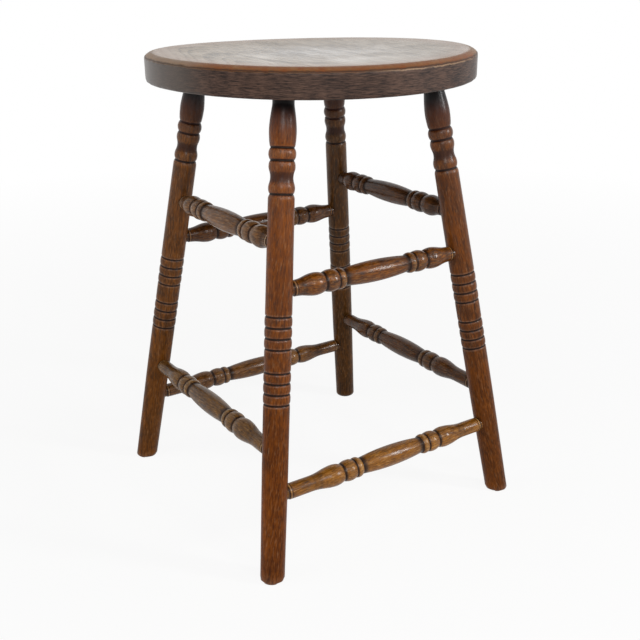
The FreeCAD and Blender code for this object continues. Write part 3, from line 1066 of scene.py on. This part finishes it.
def leg_outline(leg, tenon, shoulder, end):
    """Outline of a leg, down from the end of its tenon to its blank's end below the floor."""
    lip = leg.lip_radius
    steps = [(-tenon, leg.tenon_radius - leg.tenon_chamfer),
             (leg.tenon_chamfer - tenon, leg.tenon_radius),
             (shoulder, leg.tenon_radius),
             (shoulder + SHOULDER_ROUND, leg.neck_radius),
             (leg.neck_length, leg.neck_radius)]
    vase = swell_points(leg.neck_length, leg.vase_length, leg.vase_radius, VASE_SHARES)
    along = leg.neck_length + leg.vase_length
    steps.append((*vase, along, lip))
    steps += cut_steps(along, leg.cut_width, leg.cut_depth, lip)
    along += leg.cut_width
    steps.append((along + leg.bead_length / 2, leg.bead_radius, along + leg.bead_length, lip))
    along += leg.bead_length
    steps += cut_steps(along, leg.cut_width, leg.cut_depth, lip)
    along += leg.cut_width
    flange = (leg.flange_length, leg.flange_radius)
    for run, radius in (flange, (leg.cove_length, leg.cove_radius), flange):
        steps.append((along + run / 2, radius, along + run, lip))
        along += run
    steps += cut_steps(along, leg.cut_width, leg.cut_depth, lip)
    steps.append((along + 2 * leg.cut_width, leg.shaft_top_radius))
    band_length = (leg.band_cuts - 1) * leg.band_pitch
    for band in (leg.first_band_drop, leg.first_band_drop + band_length + leg.band_gap):
        for index in range(leg.band_cuts):
            along = band + index * leg.band_pitch - leg.cut_width / 2
            middle = along - (leg.band_pitch - leg.cut_width) / 2
            ring = (middle, leg.ring_radius, along, leg.shaft_radius)
            steps.append(ring if index else (along, leg.shaft_radius))
            steps += cut_steps(along, leg.cut_width, leg.cut_depth, leg.shaft_radius)
    steps += [(leg.shin_drop, leg.shaft_radius), (end - FOOT_STRAIGHT, leg.foot_radius),
              (end, leg.foot_radius), (end, 0)]
    return walk((-tenon, 0), steps)


def mortises(foot, up):
    """Bores for the stretchers that meet the leg which stands on foot."""
    leg = bpy.context.scene.stool_leg
    rail = bpy.context.scene.stool_stretcher
    radius = rail.tenon_radius + bpy.context.scene.stool_fit.glue_clearance
    reach = 2 * leg.shaft_radius
    bores = []
    for node in frame["nodes"]:
        if "stretcher" not in node:
            continue
        middle, direction, _ = stretcher_line(node)
        axis_spot = foot + up * middle.z / up.z
        toward = axis_spot - middle
        if abs(toward.cross(direction).length) > leg.shaft_radius:
            continue
        outward = direction * math.copysign(1, toward.dot(direction))
        bores.append((axis_spot - outward * reach, outward, radius, reach + rail.mortise_past_axis))
    return bores


class STOOL_OT_legs(bpy.types.Operator):
    """Build the four turned legs with their tenons, mortises and eased feet"""

    bl_idname = "stool.legs"
    bl_label = "Legs"

    def execute(self, context):
        leg = context.scene.stool_leg
        fits = context.scene.stool_fit
        seat = context.scene.stool_seat
        low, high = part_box("seat")
        radius = (high.x - low.x) / 2
        for number, (name, foot) in enumerate(foot_spots().items()):
            up = leg_up(foot)
            tenon = (seat.socket_depth - fits.end_clearance) / up.z
            mouth = foot + up * low.z / up.z
            drop = low.z - (high.z - seat.thickness + board_rise(seat, radius, mouth))
            splay = math.tan(math.acos(up.z))
            shoulder = leg.neck_radius * splay + fits.shoulder_clearance + drop
            outline = leg_outline(leg, tenon, shoulder, low.z / up.z + FOOT_OVERRUN)
            # The third value is how far the leg's top is painted black with shade under the seat
            pale, dark, seat_shade = LEGS[name]
            material = turned_wood("stained_beech_" + name, (pale, dark), LEG_LIP_WEAR_AND_HIGHLIGHT, LEG_RUB,
                                   seat_shade * MM, **LEG_FINISH)
            piece = turn_piece(name + "_turned", outline, material, {
                "Seed": LEG_SEED_STEP * number,
                "Blank offset": [step * number for step in LEG_BLANK_STEP],
                "Wear passes": LEG_WEAR_PASSES, "Up": up, "Foot spot": foot,
                "Foot arris": leg.foot_arris, "Place": mouth, "Turn": turn_to(-up).to_euler()})
            hand_over(bore(piece, mortises(foot, up)), name)
        return {"FINISHED"}


def stretcher_half(rail, swell_length, shoulder, end, shift):
    """Outline of half a stretcher, from the middle of its barrel to the end of its tenon."""
    barrel_end = shift + rail.barrel_half
    barrel_middle = rail.barrel_radius - (rail.barrel_radius - rail.barrel_end_radius) / 4
    collar = barrel_end + rail.collar_step
    collar_end = collar + rail.collar_length
    knop = collar_end + rail.collar_cut_width
    knop_end = knop + rail.knop_length
    swell = knop_end + rail.knop_cut_width
    scribe = shoulder - rail.scribe_inset
    swell_end = min(swell + swell_length, scribe - rail.scribe_width)
    taper = swell_end - swell - rail.swell_rise
    return walk((shift, rail.barrel_radius), [
        (shift + rail.barrel_half / 2, barrel_middle, barrel_end, rail.barrel_end_radius),
        (collar, rail.barrel_end_radius + rail.collar_step),
        (collar + rail.collar_length / 2, rail.collar_radius, collar_end, rail.collar_lip),
        *cut_steps(collar_end, rail.collar_cut_width, rail.collar_cut_depth, rail.collar_lip),
        (knop + rail.knop_length * rail.knop_peak, rail.knop_radius, knop_end, rail.knop_lip),
        *cut_steps(knop_end, rail.knop_cut_width, rail.knop_cut_depth, rail.knop_lip),
        (*swell_points(swell, rail.swell_rise, rail.swell_radius, RISE_SHARES),
         *swell_points(swell + rail.swell_rise, taper, rail.swell_radius, TAPER_SHARES),
         swell_end, rail.wrist_radius),
        (scribe, rail.wrist_radius),
        *cut_steps(scribe, rail.scribe_width, rail.scribe_depth, rail.wrist_radius),
        (shoulder - rail.shoulder_round, rail.wrist_radius),
        (shoulder, rail.tenon_radius),
        (end - rail.tenon_chamfer, rail.tenon_radius),
        (end, rail.tenon_radius - rail.tenon_chamfer),
        (end, 0),
    ])


def stretcher_outline(rail, swell_length, shoulder, end, shift):
    """Outline of a stretcher from one end to the other, its pattern set off the middle by shift."""
    ahead = stretcher_half(rail, swell_length, shoulder, end, shift)
    behind = stretcher_half(rail, swell_length, shoulder, end, -shift)
    return [Vector((-point.x, point.y)) for point in reversed(behind[1:])] + ahead


class STOOL_OT_stretchers(bpy.types.Operator):
    """Build the upper and lower turned stretchers"""

    bl_idname = "stool.stretchers"
    bl_label = "Stretchers"

    def execute(self, context):
        rail = context.scene.stool_stretcher
        fits = context.scene.stool_fit
        leg = context.scene.stool_leg
        lean = leg_lean()
        for number, (node, (pale, dark, lip, wear, shift)) in enumerate(STRETCHERS.items()):
            middle, direction, end = stretcher_line(node)
            half_span = end - rail.mortise_past_axis + fits.end_clearance
            gap = leg.shaft_radius * math.hypot(1, lean) + rail.wrist_radius * lean
            shoulder = half_span - gap - fits.shoulder_clearance
            upper_swell = rail.upper_front_swell if direction.x else rail.upper_side_swell
            swell_length = upper_swell if node.startswith("upper") else rail.lower_swell
            outline = stretcher_outline(rail, swell_length, shoulder, end, shift * MM)
            material = turned_wood("stained_beech_" + node, (pale, dark), lip, wear,
                                   **STRETCHER_FINISH)
            piece = turn_piece(node + "_turned", outline, material, {
                "Seed": STRETCHER_SEED + STRETCHER_SEED_STEP * number,
                "Blank offset": [step * number for step in STRETCHER_BLANK_STEP],
                "Place": middle, "Turn": turn_to(direction).to_euler()})
            hand_over(piece, node)
        return {"FINISHED"}


# Stage

# Each lamp's direction and height above level in degrees, as seen from the middle of the stool, its
# width and height in millimetres, its share of the power, and whether gloss shows it
LAMPS = {
    "right_window": (309.0, 23.0, 300.0, 720.0, 1.0, True),
    "front_window": (278.0, 26.0, 200.0, 800.0, 0.22, True),
    "room_light": (240.0, 25.0, 520.0, 460.0, 0.42, True),
    "ceiling": (246.0, 42.0, 2600.0, 300.0, 0.6, True),
    "left_wall": (168.0, 12.0, 1700.0, 1700.0, 0.95, False),
}
STOOL_MIDDLE = Vector((0, 0, 0.35))
# Number of pixels across the photograph's frame
VIEW_WIDTH = 640
SENSOR_WIDTH = 36.0
# Half the floor's width
FLOOR_HALF = 40.0
# Distances from the stool's middle between which the floor turns white, and how white it is there
FLOOR_FADE = (0.4, 2.5, 0.9, 1.0)


class STOOL_OT_stage(bpy.types.Operator):
    """Set up the floor, the white surroundings, the lamps and the camera"""

    bl_idname = "stool.stage"
    bl_label = "Stage"

    def execute(self, context):
        stage = context.scene.stool_stage
        make_floor()
        make_world(context, stage)
        for name, lamp in LAMPS.items():
            add_lamp(name, stage, *lamp)
        add_camera(context, stage)
        context.scene.view_settings.view_transform = "Standard"
        return {"FINISHED"}


def make_floor():
    """Plain pale floor that shows the camera mostly white, with a soft shadow."""
    mesh = bpy.data.meshes.new("floor")
    corners = ((-1, -1), (1, -1), (1, 1), (-1, 1))
    mesh.from_pydata([(FLOOR_HALF * x, FLOOR_HALF * y, 0) for x, y in corners], [], [(0, 1, 2, 3)])
    floor = link(bpy.data.objects.new("floor", mesh))
    material, tree = new_material("white_paper_floor")
    matt = result(tree, "ShaderNodeBsdfDiffuse", {"Color": tone_of("#f2f2f0")})
    glow = result(tree, "ShaderNodeEmission", {"Color": tone_of("#ffffff"), "Strength": 1.0})
    here = add(tree, "ShaderNodeTexCoord").outputs["Object"]
    fade = remap(tree, vector_maths(tree, "LENGTH", here), *FLOOR_FADE)
    glowing = multiplied(tree, seen_directly(tree, "Glossy"), fade)
    mix = result(tree, "ShaderNodeMixShader", {0: glowing, 1: matt, 2: glow})
    add(tree, "ShaderNodeOutputMaterial", {"Surface": mix})
    mesh.materials.append(material)


def seen_directly(tree, *kinds):
    """1 for rays of the camera and of the kinds named."""
    ray = add(tree, "ShaderNodeLightPath").outputs
    seen = ray["Is Camera Ray"]
    for kind in kinds:
        seen = maths(tree, "MAXIMUM", seen, ray["Is " + kind + " Ray"])
    return seen


def make_world(context, stage):
    """White surroundings: full white to the camera and in gloss, softer as light."""
    world = bpy.data.worlds.new("white_surroundings")
    context.scene.world = world
    world.use_nodes = True
    tree = world.node_tree
    tree.nodes.clear()
    seen = seen_directly(tree, "Glossy", "Transmission")
    strength = remap(tree, seen, 0.0, 1.0, stage.world_strength)
    light = result(tree, "ShaderNodeBackground", {
        "Color": tone_of("#ffffff"), "Strength": strength})
    add(tree, "ShaderNodeOutputWorld", {"Surface": light})


def add_lamp(name, stage, turn, height, width, tall, power_share, in_gloss):
    """A soft upright lamp that looks at the middle of the stool."""
    lamp = bpy.data.lights.new(name, "AREA")
    lamp.shape = "RECTANGLE"
    lamp.size = width * MM
    lamp.size_y = tall * MM
    lamp.energy = stage.lamp_power * power_share
    turn, height = math.radians(turn), math.radians(height)
    away = Vector((math.cos(turn) * math.cos(height), math.sin(turn) * math.cos(height),
                   math.sin(height)))
    holder = link(bpy.data.objects.new(name, lamp))
    holder.visible_glossy = in_gloss
    holder.location = STOOL_MIDDLE + away * stage.lamp_distance
    holder.rotation_euler = (-away).to_track_quat("-Z", "Y").to_euler()


def add_camera(context, stage):
    """Camera at the photograph's angle."""
    camera = bpy.data.cameras.new("camera")
    camera.sensor_width = SENSOR_WIDTH
    camera.lens = stage.focal_pixels / VIEW_WIDTH * SENSOR_WIDTH
    yaw = stage.camera_yaw
    pitch = stage.camera_pitch
    forward = Vector((-math.sin(yaw) * math.cos(pitch), math.cos(yaw) * math.cos(pitch),
                      -math.sin(pitch)))
    level = Vector((math.cos(yaw), math.sin(yaw), 0))
    down = forward.cross(level)
    right = level * math.cos(stage.camera_roll) + down * math.sin(stage.camera_roll)
    axes = Matrix((right, -forward.cross(right), -forward)).transposed()
    holder = link(bpy.data.objects.new("camera", camera))
    holder.matrix_world = Matrix.Translation(stage.camera_place) @ axes.to_4x4()
    context.scene.camera = holder


# Panel and add-on


class STOOL_PT_panel(bpy.types.Panel):
    """Lists the steps that build the stool."""

    bl_label = "Turned stool"
    bl_idname = "STOOL_PT_panel"
    bl_space_type = "VIEW_3D"
    bl_region_type = "UI"
    bl_category = "Stool"

    def draw(self, context):
        for operator in OPERATORS:
            self.layout.operator(operator.bl_idname)


SETTINGS = {
    "stool_seat": StoolSeatSettings,
    "stool_leg": StoolLegSettings,
    "stool_stretcher": StoolStretcherSettings,
    "stool_fit": StoolFitSettings,
    "stool_stage": StoolStageSettings,
}
OPERATORS = [STOOL_OT_seat, STOOL_OT_legs, STOOL_OT_stretchers, STOOL_OT_stage]


def register():
    """Registers the settings, the operators and the panel."""
    for name, group in SETTINGS.items():
        bpy.utils.register_class(group)
        setattr(bpy.types.Scene, name, PointerProperty(type=group))
    for kind in OPERATORS + [STOOL_PT_panel]:
        bpy.utils.register_class(kind)


def unregister():
    """Takes away what register added."""
    for kind in reversed(OPERATORS + [STOOL_PT_panel]):
        bpy.utils.unregister_class(kind)
    for name, group in SETTINGS.items():
        delattr(bpy.types.Scene, name)
        bpy.utils.unregister_class(group)


def main():
    """Builds the stool and its stage."""
    register()
    bpy.ops.stool.seat()
    bpy.ops.stool.legs()
    bpy.ops.stool.stretchers()
    bpy.ops.stool.stage()


if __name__ == "__main__":
    main()
